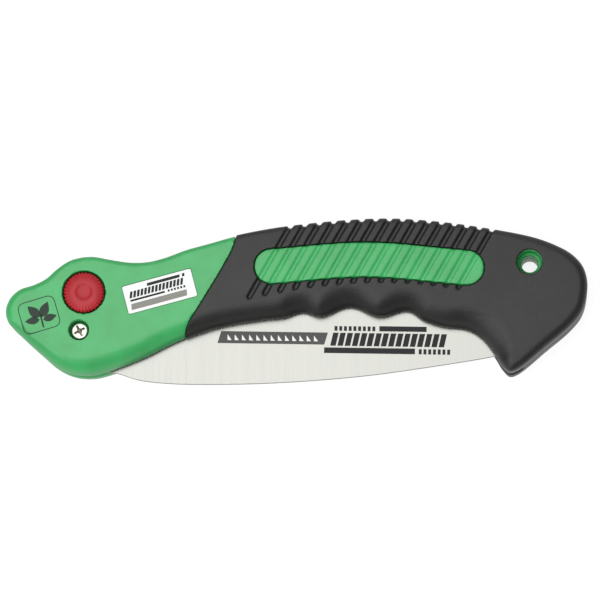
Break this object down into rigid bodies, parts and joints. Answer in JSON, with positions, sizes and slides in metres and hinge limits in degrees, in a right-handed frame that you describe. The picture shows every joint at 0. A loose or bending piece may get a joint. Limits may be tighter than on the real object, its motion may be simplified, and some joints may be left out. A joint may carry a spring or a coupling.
{
  "type": "folding pruning saw",
  "caption": "Folding pruning saw, closed: green and black moulded handle in two halves, a toothed blade that turns out of its slot, and a push-button lock beside the pivot.",
  "frame": {"origin": "middle of the folded saw's box, on the plane that its far side lies on", "axes": "+X along the handle from the head to the tail, +Y across it towards the spine, +Z out of the side with the lock button; the blade swings in the XY plane"},
  "size_m": [0.2336, 0.0662, 0.024],
  "materials": {
    "green_nylon": "moulded satin",
    "black_rubber": "fine-textured overmould",
    "label_film": "white film",
    "blade_steel": "ground across its length",
    "zinc_plate": "bright zinc",
    "bush_brass": "turned",
    "washer_acetal": "natural acetal",
    "red_plastic": "moulded satin",
    "plunger_steel": "turned",
    "spring_wire": "drawn wire"
  },
  "bodies": {
    "handle": {"front_shell": "green_nylon", "rear_shell": "green_nylon", "front_grip": "black_rubber", "rear_grip": "black_rubber", "label": "label_film", "pivot_screw": "zinc_plate", "pivot_nut": "zinc_plate", "nut_washer": "zinc_plate", "pivot_bush": "bush_brass", "front_thrust_washer": "washer_acetal", "rear_thrust_washer": "washer_acetal", "body_screw_1": "zinc_plate", "body_screw_2": "zinc_plate", "body_screw_3": "zinc_plate", "body_screw_4": "zinc_plate", "lock_spring": "spring_wire"},
    "blade": {"blade": "blade_steel"},
    "lock": {"lock_button": "red_plastic", "lock_plunger": "plunger_steel"}
  },
  "joints": [
    {"name": "blade_hinge", "type": "hinge", "parent": "handle", "child": "blade", "pos_m": [-0.08645, -0.01245, 0.012], "axis": [0, 0, -1], "range_deg": [0, 180]},
    {"name": "lock_press", "type": "slide", "parent": "handle", "child": "lock", "axis": [0, 0, -1], "range_m": [0, 0.003], "stiffness_N_per_m": 800, "springref_m": -0.0025, "deforming": ["lock_spring"]}
  ]
}
